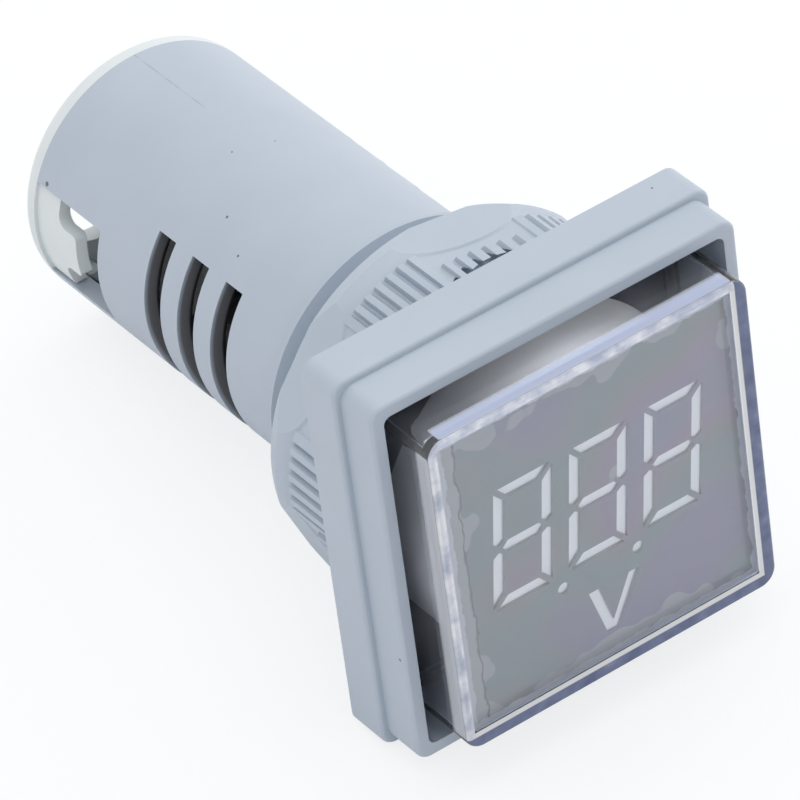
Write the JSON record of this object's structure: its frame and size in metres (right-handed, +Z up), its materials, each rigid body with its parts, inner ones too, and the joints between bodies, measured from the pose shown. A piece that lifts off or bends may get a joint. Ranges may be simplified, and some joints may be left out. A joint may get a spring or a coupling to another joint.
{
  "type": "digital panel meter",
  "caption": "Square bezel with a clear raised lens over a seven-segment display, on a round barrel with a ribbed hexagonal panel nut and rear screw terminals",
  "frame": {"origin": "centre of the bezel's rear face, where it seats on the panel, on the barrel's axis", "axes": "-Y towards the viewer of the display, +Y along the barrel to the terminals, +X to the right as seen from the front, +Z up"},
  "size_m": [0.03, 0.053, 0.03],
  "materials": {
    "housing_grey": "fine satin moulded plastic",
    "lens_clear": "clear polished plastic with a slight blue cast",
    "mask_film": "dark grey film with a purple and green sheen",
    "drum_white": "plain white moulded plastic",
    "diffuser_pale": "pale milky resin",
    "led_chip": "small pale yellow chips",
    "board_dark": "dark coated laminate",
    "header_black": "black plastic block with pins",
    "chip_black": "black moulded compound",
    "resistor_beige": "beige lacquer",
    "can_sleeve": "dark sleeve on an aluminium can",
    "film_yellow": "yellow moulded box",
    "block_white": "plain white moulded plastic",
    "cover_white": "white moulded plastic, satin",
    "brass": "stamped brass",
    "plated_steel": "zinc plated steel",
    "rubber_black": "black rubber"
  },
  "bodies": {
    "housing": {"body_housing": "housing_grey", "lens_cap": "lens_clear", "display_mask": "mask_film", "display_reflector": "drum_white", "segment_diffusers": "diffuser_pale", "segment_leds": "led_chip", "display_board": "board_dark", "display_header": "header_black", "main_board": "board_dark", "controller_chip": "chip_black", "divider_resistors": "resistor_beige", "smoothing_capacitor": "can_sleeve", "dropper_capacitor": "film_yellow", "bridge_rectifier": "chip_black", "terminal_block": "block_white", "terminal_plate_left": "brass", "terminal_plate_right": "brass", "panel_gasket": "rubber_black"},
    "nut": {"panel_nut": "housing_grey"},
    "cover": {"rear_cover": "cover_white"},
    "clamp_left": {"terminal_clamp_left": "plated_steel"},
    "screw_left": {"terminal_screw_left": "plated_steel"},
    "clamp_right": {"terminal_clamp_right": "plated_steel"},
    "screw_right": {"terminal_screw_right": "plated_steel"}
  },
  "joints": [
    {"name": "nut_run", "type": "slide", "parent": "housing", "child": "nut", "axis": [0, 1, 0], "range_m": [0, 0.05]},
    {"name": "cover_pull", "type": "slide", "parent": "housing", "child": "cover", "axis": [0, 1, 0], "range_m": [0, 0.012]},
    {"name": "clamp_lift_left", "type": "slide", "parent": "housing", "child": "clamp_left", "axis": [0, 1, 0], "range_m": [0, 0.0016]},
    {"name": "screw_turn_left", "type": "hinge", "parent": "clamp_left", "child": "screw_left", "pos_m": [-0.0047, 0.0372, 0], "axis": [0, 1, 0], "range_deg": [0, 1160]},
    {"name": "clamp_lift_right", "type": "slide", "parent": "housing", "child": "clamp_right", "axis": [0, 1, 0], "range_m": [0, 0.0016]},
    {"name": "screw_turn_right", "type": "hinge", "parent": "clamp_right", "child": "screw_right", "pos_m": [0.0047, 0.0372, 0], "axis": [0, 1, 0], "range_deg": [0, 1160]}
  ],
  "couplings": [
    {"joint": "screw_turn_left", "follows": "clamp_lift_left", "rad_per_m": 12566},
    {"joint": "screw_turn_right", "follows": "clamp_lift_right", "rad_per_m": 12566}
  ]
}
